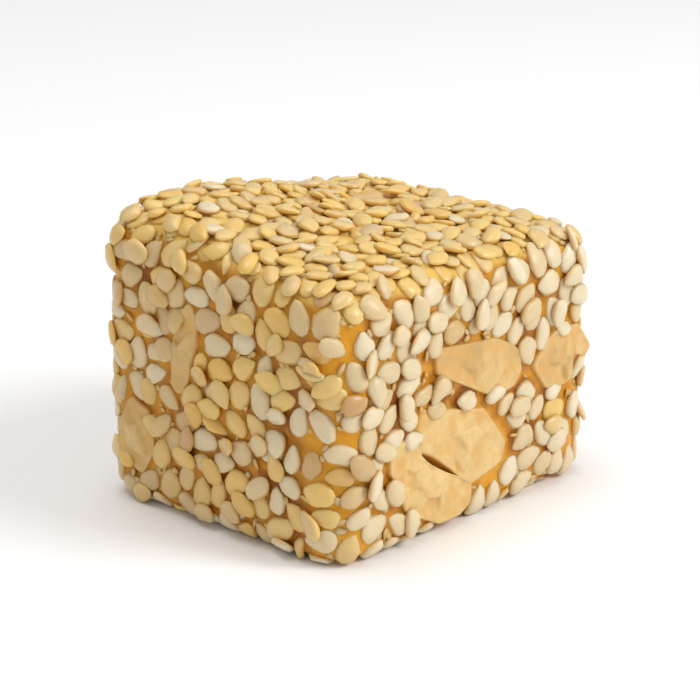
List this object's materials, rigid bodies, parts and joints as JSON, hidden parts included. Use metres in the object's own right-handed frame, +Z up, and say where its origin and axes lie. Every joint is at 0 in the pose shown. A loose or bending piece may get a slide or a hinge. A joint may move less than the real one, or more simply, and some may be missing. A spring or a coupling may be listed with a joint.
{
  "type": "hard nougat",
  "caption": "Hand-cut block of hard nougat: amber caramel full of roasted peanut pieces, rolled in hulled sesame seeds.",
  "frame": {"origin": "middle of the flat underside, where the block rests", "axes": "+X along the block's length, -Y out of its front, +Z up"},
  "size_m": [0.0323, 0.0276, 0.0246],
  "materials": {
    "caramel": "glossy, slightly see-through amber caramel with fine bubbles",
    "sesame": "hulled sesame, pale cream with a soft sheen, some glazed with caramel",
    "peanut": "roasted peanut, broken faces, dull to satin"
  },
  "bodies": {
    "root": {"nougat": "caramel", "peanut_front_upper": "peanut", "peanut_front_lower": "peanut", "peanut_front_middle": "peanut", "peanut_front_edge": "peanut", "peanut_left_low": "peanut", "peanut_left_splinter": "peanut", "peanut_back_half": "peanut", "peanut_back_low": "peanut", "peanut_back_high": "peanut", "peanut_right_half": "peanut", "peanut_right_high": "peanut", "peanut_top_chip": "peanut", "peanut_base_half": "peanut"}
  },
  "joints": []
}
